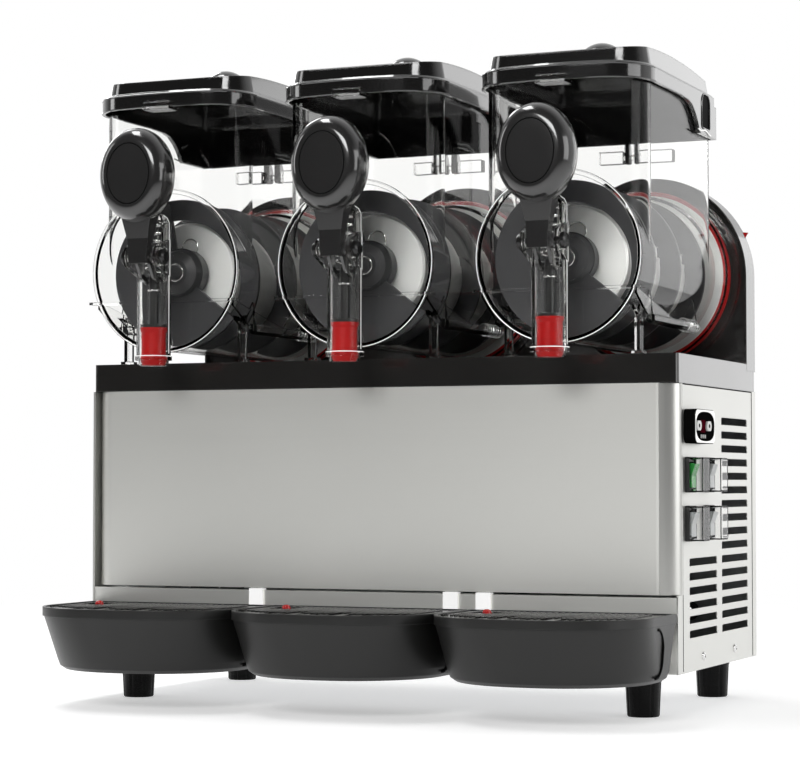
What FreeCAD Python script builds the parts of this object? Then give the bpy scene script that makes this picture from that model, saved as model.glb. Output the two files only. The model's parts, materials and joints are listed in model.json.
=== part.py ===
import FreeCAD, Part
import math
import os

V = FreeCAD.Vector

# Three-bowl counter-top slush machine, millimetres.
# +Z is up, -Y is the serving side and +X is the side with the controls.
# The modelling frame has X = 0 on the middle bowl, Y = 0 in the cabinet's front part
# and Z = 0 under the feet. At export everything moves by origin_shift, so that the
# origin is the middle of the machine's footprint.

# Cabinet
side_x = 290.0
front_y = -56.5
back_y = 200.0
base_z = 38.6
band_top = 104.4
panel_bottom = 106.4
panel_top = 290.2
deck_bottom = 290.2
deck_top = 316.0
sheet = 1.5
corner_roll = 18.0

# Bowls and what turns in them
bowl_pitch = 193.5
bowl_x = (-bowl_pitch, 0.0, bowl_pitch)
axis_z = 400.5
barrel_radius = 75.0
barrel_wall = 2.8
barrel_front = -93.0
bell_radius = 84.0
flange_radius = 88.4
bowl_rear = 176.7
hopper_half = 74.5
hopper_rear = 127.0
hopper_top = 564.2
drum_radius = 49.0
drum_front = -45.0
seat_radius = 76.5
blade_radius = 69.5
blade_inner = 50.3
blade_pitch = 77.0
blade_thick = 3.5
shaft_radius = 5.0

# Rear housing
arch_radius = 96.5
housing_front = 170.0
wall_y = 177.0
wall_back = 179.5
housing_bottom = 309.4

# Lid
hinge_y = 133.7
hinge_z = 513.0
rim_bottom = 552.0
rim_top = 567.0
skirt_bottom = 525.5
lid_half = 79.0
lid_wall = 2.6
plateau_half = 75.0
crown_radius = 833.0
crown_y = 12.0
crown_top = 585.9

# Tap
tube_y = -113.0
tube_radius = 15.8
tube_bore = 12.8
tube_top = 450.0
pivot_y = -130.0
pivot_z = 410.0
rod_radius = 4.3
rod_pin_z = 392.0

# Drip trays
tray_half = 96.2
tray_front = -200.0
tray_rear = -58.2
tray_rim_top = 91.0
tray_rim_bottom = 83.0
tray_bottom = 34.0
tray_corner = 71.0
tray_wall = 2.5

# Controls on the right side
cover_reach = 15.7
gland_reach = 12.0
switch_spots = ((-23.0, 210.6), (35.0, 210.6), (-23.0, 168.0), (35.0, 168.0))
rocker_tilt = 9.0

origin_shift = V(-cover_reach / 2.0, -gland_reach / 2.0, 0.0)


def block(x0, x1, y0, y1, z0, z1):
    """Box between two corners."""
    return Part.makeBox(x1 - x0, y1 - y0, z1 - z0, V(x0, y0, z0))


def rod_x(radius, y, z, x0, x1):
    """Round bar along X."""
    return Part.makeCylinder(radius, x1 - x0, V(x0, y, z), V(1, 0, 0))


def rod_y(radius, x, z, y0, y1):
    """Round bar along Y."""
    return Part.makeCylinder(radius, y1 - y0, V(x, y0, z), V(0, 1, 0))


def rod_z(radius, x, y, z0, z1):
    """Round bar along Z."""
    return Part.makeCylinder(radius, z1 - z0, V(x, y, z0), V(0, 0, 1))


def rounded_wire(corners, radii, place):
    """Closed wire through 2-D corners, each rounded by its own radius."""
    count = len(corners)
    starts = []
    middles = []
    ends = []
    for i in range(count):
        corner = V(corners[i][0], corners[i][1], 0)
        before = V(corners[i - 1][0], corners[i - 1][1], 0)
        after = V(corners[(i + 1) % count][0], corners[(i + 1) % count][1], 0)
        to_before = (before - corner).normalize()
        to_after = (after - corner).normalize()
        half = to_before.getAngle(to_after) / 2.0
        radius = radii[i]
        reach = radius / math.tan(half)
        inward = (to_before + to_after).normalize()
        starts.append(corner + to_before * reach)
        ends.append(corner + to_after * reach)
        middles.append(corner + inward * (radius / math.sin(half) - radius))
    edges = []
    for i in range(count):
        if radii[i] > 0:
            arc = Part.Arc(place(starts[i]), place(middles[i]), place(ends[i]))
            edges.append(arc.toShape())
        follow = starts[(i + 1) % count]
        if (follow - ends[i]).Length > 1e-6:
            edges.append(Part.LineSegment(place(ends[i]), place(follow)).toShape())
    return Part.Wire(edges)


def prism_z(corners, radii, z0, z1):
    """Rounded outline in plan, drawn up from z0 to z1."""
    wire = rounded_wire(corners, radii, lambda p: V(p.x, p.y, z0))
    return Part.Face(wire).extrude(V(0, 0, z1 - z0))


def prism_x(corners, radii, x0, x1):
    """Rounded outline in side view (Y, Z), drawn from x0 to x1."""
    wire = rounded_wire(corners, radii, lambda p: V(x0, p.x, p.y))
    return Part.Face(wire).extrude(V(x1 - x0, 0, 0))


def prism_y(corners, radii, y0, y1):
    """Rounded outline in front view (X, Z), drawn from y0 to y1."""
    wire = rounded_wire(corners, radii, lambda p: V(p.x, y0, p.y))
    return Part.Face(wire).extrude(V(0, y1 - y0, 0))


def rectangle(u0, u1, v0, v1):
    return [(u0, v0), (u1, v0), (u1, v1), (u0, v1)]


def revolve_y(profile, x, z):
    """Turned part: (radius, y) profile spun about an axis along Y."""
    points = [V(x + r, y, z) for r, y in profile]
    wire = Part.makePolygon(points + points[:1])
    return Part.Face(wire).revolve(V(x, 0, z), V(0, 1, 0), 360)


def revolve_z(profile, x, y):
    """Turned part: (radius, z) profile spun about a vertical axis."""
    points = [V(x + r, y, z) for r, z in profile]
    wire = Part.makePolygon(points + points[:1])
    return Part.Face(wire).revolve(V(x, y, 0), V(0, 0, 1), 360)


def join(first, *others):
    return first.fuse(list(others)).removeSplitter()


def mirrored_x(shape, x=0.0):
    return shape.mirror(V(x, 0, 0), V(1, 0, 0))


def export(name, shape):
    placed = shape.copy()
    placed.translate(origin_shift)
    placed.exportStep("parts/" + name + ".step")


# Cabinet

def make_base_pan():
    """Folded steel pan: floor, four flanges and air slots under the condenser."""
    floor_thick = 2.0
    flange_top = 60.0
    x = side_x - 2.0
    y0 = front_y + 2.2
    y1 = back_y - sheet
    pan = block(-x, x, y0, y1, base_z, flange_top)
    inside = block(-x + sheet, x - sheet, y0 + sheet, y1 - sheet, base_z + floor_thick, flange_top)
    pan = pan.cut(inside)
    slots = []
    for i in range(7):
        y = 10.0 + 24.0 * i
        slots.append(block(-270, -215, y, y + 8, base_z, base_z + floor_thick))
    return pan.cut(slots)


def make_foot(x, y):
    """Tapered rubber foot with a shoulder under the pan."""
    profile = [(0, 0), (14.2, 0), (15.3, 26.5), (16.3, 26.5), (16.3, base_z), (0, base_z)]
    return revolve_z(profile, x, y)


def make_feet():
    feet = []
    for x in (-251.3, 251.3):
        for y in (-35.3, 181.7):
            feet.append(make_foot(x, y))
    return Part.makeCompound(feet)


def make_front_panel():
    """Sheet with a large roll at each upright edge and a flange along each side."""
    flange_end = -35.5
    outer = side_x - 2.0
    inner = outer - sheet
    corners = [(-outer, flange_end), (-outer, front_y), (outer, front_y), (outer, flange_end)]
    corners += [(inner, flange_end), (inner, front_y + sheet), (-inner, front_y + sheet), (-inner, flange_end)]
    radii = [0, corner_roll, corner_roll, 0, 0, corner_roll - sheet, corner_roll - sheet, 0]
    return prism_z(corners, radii, panel_bottom, panel_top)


def make_front_band():
    """Lower front band with its top folded back."""
    x = side_x - 2.0
    face = front_y + 0.7
    upright = block(-x, x, face, face + sheet, base_z, band_top)
    fold = block(-x, x, face, face + 16.0, band_top - sheet, band_top)
    return join(upright, fold)


def louvre(y0, y1, z, x0, x1):
    """Air slot whose two upper corners are cut off."""
    height = 7.0
    nick = 1.6
    corners = [(y0, z), (y1, z), (y1, z + height - nick), (y1 - nick, z + height)]
    corners += [(y0 + nick, z + height), (y0, z + height - nick)]
    return prism_x(corners, [0] * 6, x0, x1)


def louvre_field(x0, x1):
    """Sixteen slots in the rear column and six in the front one."""
    row_pitch = 12.59
    first_z = 67.5
    slots = []
    for row in range(16):
        slots.append(louvre(82.0, 171.0, first_z + row_pitch * row, x0, x1))
    for row in range(6):
        slots.append(louvre(-21.5, 66.0, first_z + row_pitch * row, x0, x1))
    return slots


def make_right_panel():
    """Side sheet with a pressed field, air slots and holes for the controls."""
    inner = side_x - 2.0
    panel = block(inner, side_x, front_y, back_y, base_z, panel_top)
    field = block(side_x - 0.6, side_x, front_y + 15.0, back_y - 13.0, base_z, panel_top)
    holes = louvre_field(inner, side_x)
    holes.append(block(inner, side_x, -34.0, 20.0, 241.0, 265.0))
    for y, z in switch_spots:
        holes.append(block(inner, side_x, y - 9.0, y + 9.0, z - 13.0, z + 13.0))
    return panel.cut([field] + holes)


def make_left_panel():
    inner = side_x - 2.0
    panel = block(-side_x, -inner, front_y, back_y, base_z, panel_top)
    field = block(-side_x, -side_x + 0.6, front_y + 15.0, back_y - 13.0, base_z, panel_top)
    return panel.cut([field] + louvre_field(-side_x, -inner))


def make_back_panel():
    """Rear sheet with two fields of plain air slots and the gland hole."""
    x = side_x - 2.0
    panel = block(-x, x, back_y - sheet, back_y, base_z, panel_top)
    holes = []
    for column in (-180.0, -60.0, 60.0):
        for row in range(7):
            z = 110.0 + 18.0 * row
            holes.append(block(column - 45.0, column + 45.0, back_y - sheet, back_y, z, z + 8.0))
    holes.append(rod_y(9.0, 225.0, 80.0, back_y - sheet, back_y))
    return panel.cut(holes)


def make_cable_gland():
    """Bush through the rear sheet with a clamping nut for the supply cord."""
    x = 225.0
    z = 80.0
    body = rod_y(8.9, x, z, back_y - 12.0, back_y)
    nut = Part.makeCone(12.0, 9.0, gland_reach, V(x, back_y, z), V(0, 1, 0))
    bore = rod_y(5.0, x, z, back_y - 12.0, back_y + gland_reach)
    return join(body, nut).cut(bore)


def make_top_deck():
    """Black moulded deck, open below, stepped down at the rear for the arch housing."""
    skin = 2.5
    corner = 5.0
    step_y = housing_front - 0.5
    plan = rectangle(-side_x, side_x, front_y, back_y)
    inner_plan = rectangle(-side_x + skin, side_x - skin, front_y + skin, back_y - skin)
    outer = prism_z(plan, [corner] * 4, deck_bottom, deck_top)
    outer = outer.cut(block(-side_x, side_x, step_y, back_y, housing_bottom, deck_top))
    inner = prism_z(inner_plan, [corner - skin] * 4, deck_bottom, deck_top - skin)
    step_fill = block(-side_x, side_x, step_y - skin, back_y, housing_bottom - skin, deck_top)
    inner = inner.cut(step_fill)
    deck = outer.cut(inner)
    # locating rail that reaches down behind the front panel
    rail_y = front_y + sheet
    rail = block(-260, 260, rail_y, rail_y + 2.5, deck_bottom - 8.0, deck_top - 1.0)
    return join(deck, rail)


# Rear housing

def arch_outline(inset):
    """Front view of the three arches, moved inward by inset; valleys are rounded."""
    radius = arch_radius - inset
    valley = 4.0 + inset
    half_pitch = bowl_pitch / 2.0
    lift = math.sqrt((radius + valley) ** 2 - half_pitch ** 2)
    x_end = bowl_pitch + radius
    bottom = housing_bottom + inset
    edges = []
    points = []

    def on_arch(centre_x, angle):
        return V(centre_x + radius * math.cos(angle), 0, axis_z + radius * math.sin(angle))

    lean = math.atan2(lift, half_pitch)
    points.append((on_arch(-bowl_pitch, math.pi), on_arch(-bowl_pitch, math.pi / 2 + lean / 2),
                   on_arch(-bowl_pitch, lean)))
    for centre in (-half_pitch, half_pitch):
        middle = V(centre, 0, axis_z + lift - valley)
        points.append((on_arch(centre - half_pitch, lean), middle, on_arch(centre + half_pitch, math.pi - lean)))
        last = lean if centre < 0 else 0.0
        top = on_arch(centre + half_pitch, (math.pi - lean + last) / 2.0)
        points.append((on_arch(centre + half_pitch, math.pi - lean), top, on_arch(centre + half_pitch, last)))
    for start, middle, end in points:
        edges.append(Part.Arc(start, middle, end).toShape())
    right = V(x_end, 0, axis_z)
    right_low = V(x_end, 0, bottom)
    left_low = V(-x_end, 0, bottom)
    left = V(-x_end, 0, axis_z)
    edges.append(Part.LineSegment(right, right_low).toShape())
    edges.append(Part.LineSegment(right_low, left_low).toShape())
    edges.append(Part.LineSegment(left_low, left).toShape())
    return Part.Wire(edges)


def arch_prism(inset, y0, y1):
    face = Part.Face(arch_outline(inset))
    face.translate(V(0, y0, 0))
    return face.extrude(V(0, y1 - y0, 0))


def make_rear_housing():
    """Moulded shell of three arches with the bowl wall set back inside its rim."""
    skin = 2.4
    shell = arch_prism(0.0, housing_front, back_y)
    front_recess = arch_prism(skin, housing_front, wall_y)
    rear_cavity = arch_prism(skin, wall_back, back_y)
    shell = shell.cut([front_recess, rear_cavity])
    holes = [rod_y(8.0, x, axis_z, wall_y, wall_back) for x in bowl_x]
    return shell.cut(holes)


def make_rear_cover():
    """Plate that closes the arches at the back, with air slots at each motor."""
    plate = arch_prism(2.4, back_y - 2.0, back_y)
    slots = []
    for x in bowl_x:
        for row in range(5):
            z = axis_z - 34.0 + 16.0 * row
            slots.append(block(x - 30.0, x + 30.0, back_y - 2.0, back_y, z, z + 5.0))
    return plate.cut(slots)


def make_gearmotor(x):
    """Flat gear motor behind the wall, with the socket that takes the drive shaft."""
    case = rod_y(38.0, x, axis_z, wall_back, wall_back + 15.0)
    terminal = block(x - 12.0, x + 12.0, wall_back, wall_back + 12.0, axis_z - 52.0, axis_z - 34.0)
    spigot = rod_y(7.8, x, axis_z, wall_y + 0.2, wall_back)
    bore = rod_y(shaft_radius + 0.05, x, axis_z, wall_y, wall_back + 12.0)
    return join(case, terminal, spigot).cut(bore)


def make_evaporator(x):
    """Steel drum on a round seat; a small dished port shows above its centre."""
    seat_front = 157.0
    profile = [(6.5, drum_front), (drum_radius - 2.0, drum_front), (drum_radius, drum_front + 2.0)]
    profile += [(drum_radius, seat_front), (seat_radius, seat_front), (seat_radius, wall_y), (6.5, wall_y)]
    drum = revolve_y(profile, x, axis_z)
    cavity = [(12.0, drum_front + 3.0), (drum_radius - 3.0, drum_front + 3.0), (drum_radius - 3.0, wall_y - 3.0)]
    cavity += [(12.0, wall_y - 3.0)]
    dish = rod_y(8.5, x + 2.0, axis_z + 25.0, drum_front, drum_front + 1.6)
    return drum.cut([revolve_y(cavity, x, axis_z), dish])


def make_gasket(x):
    """Red ring that seals the bowl's bell on the drum's seat."""
    inner = seat_radius
    outer = bell_radius - barrel_wall - 0.3
    profile = [(inner, 158.5), (outer - 1.0, 158.5), (outer, 163.0), (outer - 1.0, 167.5), (inner, 167.5)]
    return revolve_y(profile, x, axis_z)


# Scraper

def sector_plate(x, inner, outer, start, end, y0, y1):
    """Flat ring sector in front view; angles in degrees, anticlockwise from +X."""
    def at(radius, degrees):
        angle = math.radians(degrees)
        return V(x + radius * math.cos(angle), y0, axis_z + radius * math.sin(angle))

    half = (start + end) / 2.0
    edges = [Part.Arc(at(outer, start), at(outer, half), at(outer, end)).toShape()]
    edges.append(Part.LineSegment(at(outer, end), at(inner, end)).toShape())
    edges.append(Part.Arc(at(inner, end), at(inner, half), at(inner, start)).toShape())
    edges.append(Part.LineSegment(at(inner, start), at(outer, start)).toShape())
    return Part.Face(Part.Wire(edges)).extrude(V(0, y1 - y0, 0))


def make_auger(x):
    """Spiral blade carried by a front plate and a nose hub on the drive shaft."""
    plate_start = 100.0
    plate_end = 322.0
    plate_y = -62.0
    plate_thick = 4.0
    blade_end = 140.0
    y_start = plate_y + (plate_thick - blade_thick) / 2.0
    length = blade_end - blade_thick - y_start
    outer = Part.makeHelix(blade_pitch, length, blade_radius)
    inner = Part.makeHelix(blade_pitch, length, blade_inner)
    surface = Part.makeRuledSurface(inner.Edges[0], outer.Edges[0])
    blade = surface.extrude(V(0, 0, blade_thick))
    blade.rotate(V(0, 0, 0), V(1, 0, 0), -90)
    blade.rotate(V(0, 0, 0), V(0, 1, 0), -plate_start)
    blade.translate(V(x, y_start, axis_z))
    plate = sector_plate(x, 18.0, blade_radius - 0.3, plate_start, plate_end, plate_y, plate_y + plate_thick)
    nose = [(0, -71), (12, -71), (20, -67), (23, -60), (23, drum_front - 2.5), (0, drum_front - 2.5)]
    hub = revolve_y(nose, x, axis_z)
    body = join(hub, plate, blade)
    shaft = rod_y(shaft_radius, x, axis_z, drum_front - 2.5, wall_back + 11.0)
    return Part.makeCompound([body, shaft])


# Bowl

def hopper_plan(x, inset):
    """Plan of the hopper: bowed front and large front corners."""
    half = hopper_half - inset
    front = -86.0 + inset
    corners = [(x - half, hopper_rear - inset), (x - half, front), (x, front - 9.0), (x + half, front)]
    corners += [(x + half, hopper_rear - inset)]
    return corners, [8.0 - inset, 30.0 - inset, 300.0 - inset, 30.0 - inset, 8.0 - inset]


def make_bowl_skin(x):
    """Barrel, rear bell and hopper, hollow through to the rear."""
    wall = barrel_wall
    barrel = rod_y(barrel_radius, x, axis_z, barrel_front, 146.0)
    ring = rod_y(barrel_radius + 1.5, x, axis_z, barrel_front, barrel_front + 3.0)
    bell = [(60, 140), (barrel_radius, 140), (bell_radius, 150), (bell_radius, 170), (flange_radius, 170)]
    bell += [(flange_radius, bowl_rear), (60, bowl_rear)]
    corners, radii = hopper_plan(x, 0.0)
    hopper = prism_z(corners, radii, axis_z, hopper_top)
    solid = join(barrel, ring, revolve_y(bell, x, axis_z), hopper)
    bore = [(0, barrel_front + wall), (barrel_radius - wall, barrel_front + wall), (barrel_radius - wall, 142.0)]
    bore += [(bell_radius - wall, 151.0), (bell_radius - wall, bowl_rear), (0, bowl_rear)]
    corners, radii = hopper_plan(x, wall)
    inside = join(revolve_y(bore, x, axis_z), prism_z(corners, radii, axis_z, hopper_top))
    return solid.cut(inside)


def make_tap_tube(x):
    """Tap tube with its domed top and collar, before its bore is cut."""
    profile = [(0, 311), (13.9, 311), (13.9, 316), (17.0, 316), (17.0, 320), (tube_radius, 320)]
    profile += [(tube_radius, tube_top - 7.0), (tube_radius - 6.0, tube_top), (0, tube_top)]
    return revolve_z(profile, x, tube_y)


def make_tap_lug(x):
    """Cheek beside the tube that holds one end of the lever's pin."""
    corners = [(-112.0, 392.0), (-112.0, 428.0), (-124.0, 424.0), (-139.5, 418.5), (-139.5, 401.5), (-126.0, 397.0)]
    return prism_x(corners, [0, 0, 8, 8, 8, 8], x + 13.3, x + 17.3)


def make_bowl_leg(x, side):
    """Leg that stands on the deck, its tie to the front rib and the wing between rib and slide rail."""
    leg_x = x + side * 60.5
    leg = block(leg_x - 2.5, leg_x + 2.5, -57.0, -47.0, deck_top, 362.0)
    pad = block(leg_x - 5.0, leg_x + 5.0, -59.0, -45.0, deck_top, deck_top + 2.5)
    corners = [(-91.5, 366.5), (-91.5, 372.0), (-50.0, 352.0), (-50.0, 346.5)]
    tie = prism_x(corners, [0] * 4, leg_x - 1.5, leg_x + 1.5)
    corners = [(-91.5, 366.5), (-91.5, 372.0), (12.0, 351.0), (12.0, 346.0), (-49.0, 344.0)]
    near, far = sorted((x + side * 69.5, x + side * 71.5))
    wing = prism_x(corners, [0] * 5, near, far)
    return [leg, pad, tie, wing]


def make_side_rail(x, side):
    """Slide rail low on the side of the barrel, with a web at each end."""
    rail_x = x + side * 70.0
    rail_z = 347.0
    outline = [(rail_x - side * 4.5, rail_z - 2.0), (rail_x, rail_z - 5.0), (rail_x + side * 4.5, rail_z - 2.0)]
    outline += [(rail_x + side * 4.5, rail_z + 3.0), (rail_x - side * 4.5, rail_z + 5.0)]
    rail = prism_y(outline, [0] * 5, -50.0, 85.0)
    webs = []
    for y in (-50.0, 82.0):
        inner = x + side * 55.0
        corners = [(inner, 352.0), (rail_x, rail_z - 3.0), (rail_x + side * 3.0, rail_z + 3.0)]
        corners += [(x + side * 69.0, 376.0)]
        webs.append(prism_y(corners, [0] * 4, y, y + 3.0))
    return [rail] + webs


def make_bowl(x):
    """Clear bowl: skin, tap tube, rib, legs, rails, hinge cheeks and lid catch."""
    skin = make_bowl_skin(x)
    tube = make_tap_tube(x)
    web = block(x - 5.0, x + 5.0, -104.0, barrel_front + 0.5, 323.0, 440.0)
    passage_boss = rod_y(9.0, x, 332.5, -104.0, barrel_front + 1.0)
    rib = block(x - 77.0, x + 77.0, -98.5, -88.0, 370.2, 372.6)
    extras = [tube, web, passage_boss, rib]
    for side in (-1, 1):
        extras += make_bowl_leg(x, side)
        extras += make_side_rail(x, side)
    lug = make_tap_lug(x)
    extras += [lug, mirrored_x(lug, x)]
    cheek = block(x + 11.0, x + 35.0, hopper_rear - 1.0, 137.2, 507.5, 519.0)
    extras += [cheek, mirrored_x(cheek, x), rod_x(2.5, hinge_y, hinge_z, x - 12.0, x + 12.0)]
    catch = block(x - 13.5, x + 13.5, -109.5, -90.5, 549.0, 551.4)
    catch_lip = prism_x([(-111.5, 549.0), (-109.0, 549.0), (-109.0, 557.0), (-111.5, 555.0)], [0] * 4,
                        x - 13.5, x + 13.5)
    extras += [catch, catch_lip]
    body = join(skin, *extras)
    # inside of the bowl, kept clear of what the ribs and webs added
    bore = rod_y(barrel_radius - barrel_wall, x, axis_z, barrel_front + barrel_wall, 140.0)
    tube_inside = join(rod_z(tube_bore, x, tube_y, 311.0, tube_top - 6.0), rod_y(6.0, x, 332.5, tube_y, -88.0))
    front_gap = block(x - 13.2, x + 13.2, -131.0, -119.5, 388.0, tube_top + 1.0)
    pin_hole = rod_x(3.05, pivot_y, pivot_z, x - 18.0, x + 18.0)
    # the bell and its collar are flat underneath, where they slide on the deck
    flat = block(x - 90.0, x + 90.0, 130.0, 180.0, 300.0, deck_top + 0.3)
    return body.cut([bore, tube_inside, front_gap, pin_hole, flat])


# Lid

def lid_plan(x, inset):
    half = lid_half - inset
    corners = [(x - half, 131.0 - inset), (x - half, -98.0 + inset), (x, -109.5 + inset), (x + half, -98.0 + inset)]
    corners += [(x + half, 131.0 - inset)]
    return corners, [8.0 - inset, 43.0 - inset, 250.0 - inset, 43.0 - inset, 8.0 - inset]


def plateau(x, inset, z0):
    """Raised middle of the lid: leaning sides under a crown that curves from front to rear."""
    lean = 5.0
    wires = []
    for z, margin in ((z0, inset - 1.0), (595.0, inset + lean)):
        half = plateau_half - margin
        corners = rectangle(x - half, x + half, -84.0 + margin, 123.5 - margin)
        radii = [25.0 - margin, 25.0 - margin, 8.0 - margin, 8.0 - margin]
        wires.append(rounded_wire(corners, radii, lambda p, z=z: V(p.x, p.y, z)))
    crown = rod_x(crown_radius - inset, crown_y, crown_top - crown_radius, x - 85.0, x + 85.0)
    return Part.makeLoft(wires, True, True).common(crown)


def lid_rim(x):
    """Rim of the lid, upright below and bevelled along its upper edge."""
    bevel = 3.0
    wires = []
    for z, margin in ((rim_bottom, 0.0), (rim_top - bevel, 0.0), (rim_top, bevel)):
        corners, radii = lid_plan(x, margin)
        wires.append(rounded_wire(corners, radii, lambda p, z=z: V(p.x, p.y, z)))
    return Part.makeLoft(wires, True, True)


def make_lid_ear(x):
    """Cheek of the lid beside the hopper, with a tall grip pocket in its outer face."""
    corners = [(22.0, 556.0), (22.0, 551.8), (40.0, 551.0), (52.0, 548.5), (63.0, 542.0), (70.5, 535.0)]
    corners += [(76.5, 527.5), (79.5, skirt_bottom), (131.0, skirt_bottom), (131.0, 556.0)]
    ear = prism_x(corners, [0] * 10, x + hopper_half + 0.6, x + lid_half)
    pocket = prism_x(rectangle(82.5, 108.5, 531.0, 563.5), [3.0, 3.0, 9.0, 9.0], x + lid_half - 1.8, x + lid_half + 1.0)
    return ear, pocket


def make_lid(x):
    """Black lid: rim, crowned plateau, knob, rear skirt, side ears and hinge hooks."""
    raised = plateau(x, 0.0, rim_top - 6.0)
    knob = Part.makeSphere(24.0, V(x, 30.0, 582.0))
    knob = knob.cut(block(x - 30, x + 30, 0, 60, 550, 578))
    ear, pocket = make_lid_ear(x)
    skirt = block(x - lid_half, x + lid_half, 131.0 - lid_wall, 131.0, skirt_bottom, 556.0)
    finger_side = [(128.6, 530.0), (128.6, 516.5), (127.9, 507.0), (139.3, 507.0), (139.3, 516.5), (136.0, 524.0)]
    finger_side += [(131.0, 530.0)]
    finger = prism_x(finger_side, [0, 0, 4, 4, 0, 0, 0], x + 3.0, x + 9.0)
    body = join(lid_rim(x), raised, knob, ear, mirrored_x(ear, x), skirt, finger, mirrored_x(finger, x))
    corners, radii = lid_plan(x, lid_wall)
    rim_inside = prism_z(corners, radii, rim_bottom - 1.0, rim_top - 2.5)
    raised_inside = plateau(x, lid_wall, rim_top - 8.0)
    knob_inside = rod_z(17.0, x, 30.0, 575.0, 594.0)
    # hooks snap over the pin from below and behind
    hook_bore = rod_x(2.8, hinge_y, hinge_z, x - 10.0, x + 10.0)
    hook_mouth = prism_x([(hinge_y - 2.0, hinge_z), (hinge_y + 2.0, hinge_z), (hinge_y + 2.4, 504.0),
                          (hinge_y - 2.4, 504.0)], [0] * 4, x - 10.0, x + 10.0)
    hollows = [rim_inside, raised_inside, knob_inside, hook_bore, hook_mouth]
    return body.cut(hollows + [pocket, mirrored_x(pocket, x)])


# Tap parts

def make_knob(x):
    """Deep oval knob with a flat front, drawn through ovals from front to rear."""
    centre_z = 483.5
    tallness = 41.0 / 35.0
    sections = [(-162.0, 24.0), (-159.3, 29.2), (-155.5, 32.5), (-150.5, 34.5), (-145.0, 35.0)]
    sections += [(-138.0, 34.2), (-131.5, 30.5), (-127.5, 25.0), (-125.5, 19.0)]
    wires = []
    for y, half in sections:
        low = V(x, y, centre_z - half * tallness)
        side = V(x + half, y, centre_z)
        oval = Part.Ellipse(low, side, V(x, y, centre_z))
        wires.append(Part.Wire([oval.toShape()]))
    return Part.makeLoft(wires, True, True)


def lever_stem(x):
    """Tapered stem from the pivot up into the knob."""
    levels = [(403.0, 8.8, -145.0, -134.0), (426.0, 10.7, -144.5, -133.5), (447.0, 15.2, -148.0, -132.0)]
    levels.append((460.0, 17.0, -152.0, -132.0))
    wires = []
    for z, half, y0, y1 in levels:
        wires.append(rounded_wire(rectangle(x - half, x + half, y0, y1), [0] * 4, lambda p, z=z: V(p.x, p.y, z)))
    return Part.makeLoft(wires, True, True)


def lever_prong(x):
    """Lifting finger that reaches under the rod's cross pin (profile from the pivot)."""
    profile = [(6.0, -2.0), (7.6, -9.0), (8.35, -15.7), (16.7, -21.4), (14.4, -24.3), (3.5, -19.0), (-5.0, -6.0)]
    corners = [(pivot_y + u, pivot_z + v) for u, v in profile]
    return prism_x(corners, [0] * 7, x + 4.9, x + 7.6)


def make_lever(x):
    hub = rod_x(7.0, pivot_y, pivot_z, x - 11.5, x + 11.5)
    prong = lever_prong(x)
    knob = make_knob(x)
    body = join(lever_stem(x), knob, hub, prong, mirrored_x(prong, x))
    return body.cut(rod_x(3.1, pivot_y, pivot_z, x - 13.0, x + 13.0))


def make_tap_pin(x):
    """Pivot pin with a chamfered round head at both ends."""
    pin = rod_x(3.0, pivot_y, pivot_z, x - 20.0, x + 20.0)
    head = rod_x(7.3, pivot_y, pivot_z, x + 17.4, x + 20.9)
    crown = Part.makeCone(7.3, 5.4, 1.6, V(x + 20.9, pivot_y, pivot_z), V(1, 0, 0))
    head = join(head, crown)
    return join(pin, head, mirrored_x(head, x))


def make_plunger(x):
    """Rod with a pressure disc, a core for the seal and a cross pin at its head."""
    profile = [(0, 313.5), (6.0, 313.5), (6.0, 346.0), (12.2, 346.0), (12.2, 349.0), (rod_radius, 349.0)]
    profile += [(rod_radius, 395.5), (0, 395.5)]
    rod = revolve_z(profile, x, tube_y)
    return join(rod, rod_x(2.0, tube_y, rod_pin_z, x - 9.0, x + 9.0))


def make_plunger_seal(x):
    """Red seal: waisted sleeve between two lips, with a closing nose."""
    profile = [(0, 311.5), (10.2, 311.5), (12.4, 317.0), (11.2, 321.0), (11.2, 341.0), (12.4, 344.0)]
    profile += [(12.4, 346.0), (6.0, 346.0), (6.0, 313.5), (0, 313.5)]
    return revolve_z(profile, x, tube_y)


# Drip tray

def tray_plan(x, side, front, rear, corner):
    """Outline of the tray, bowed at the front, set in from its rim by the three given amounts."""
    half = tray_half - side
    corner_y = tray_front + 7.5 + front
    corners = [(x - half, tray_rear - rear), (x - half, corner_y), (x, corner_y - 8.0)]
    corners += [(x + half, corner_y), (x + half, tray_rear - rear)]
    return corners, [3.0, corner, 120.0, corner, 3.0]


def tray_rim(x, inset, z0, z1):
    """Upright prism in the tray's rim outline, set in evenly."""
    corners, radii = tray_plan(x, inset, inset, inset, tray_corner - inset)
    return prism_z(corners, radii, z0, z1)


def tray_taper(x, levels):
    """Body drawn through outlines; each level is z, the three insets and the corner radius."""
    wires = []
    for z, side, front, rear, corner in levels:
        corners, radii = tray_plan(x, side, front, rear, corner)
        wires.append(rounded_wire(corners, radii, lambda p, z=z: V(p.x, p.y, z)))
    return Part.makeLoft(wires, True, True)


def tray_side_groove(x):
    """Groove in each side wall, where the rounded front part ends."""
    corners = [(-114.0, 81.5), (-95.2, 81.5), (-95.2, 38.0), (-112.0, 38.0), (-112.0, 40.4), (-97.6, 40.4)]
    corners += [(-97.6, 79.1), (-114.0, 79.1)]
    radii = [0, 17.0, 14.0, 0, 0, 11.6, 14.6, 0]
    right = prism_x(corners, radii, x + tray_half - 4.0, x + tray_half + 1.0)
    return [right, mirrored_x(right, x)]


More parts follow.
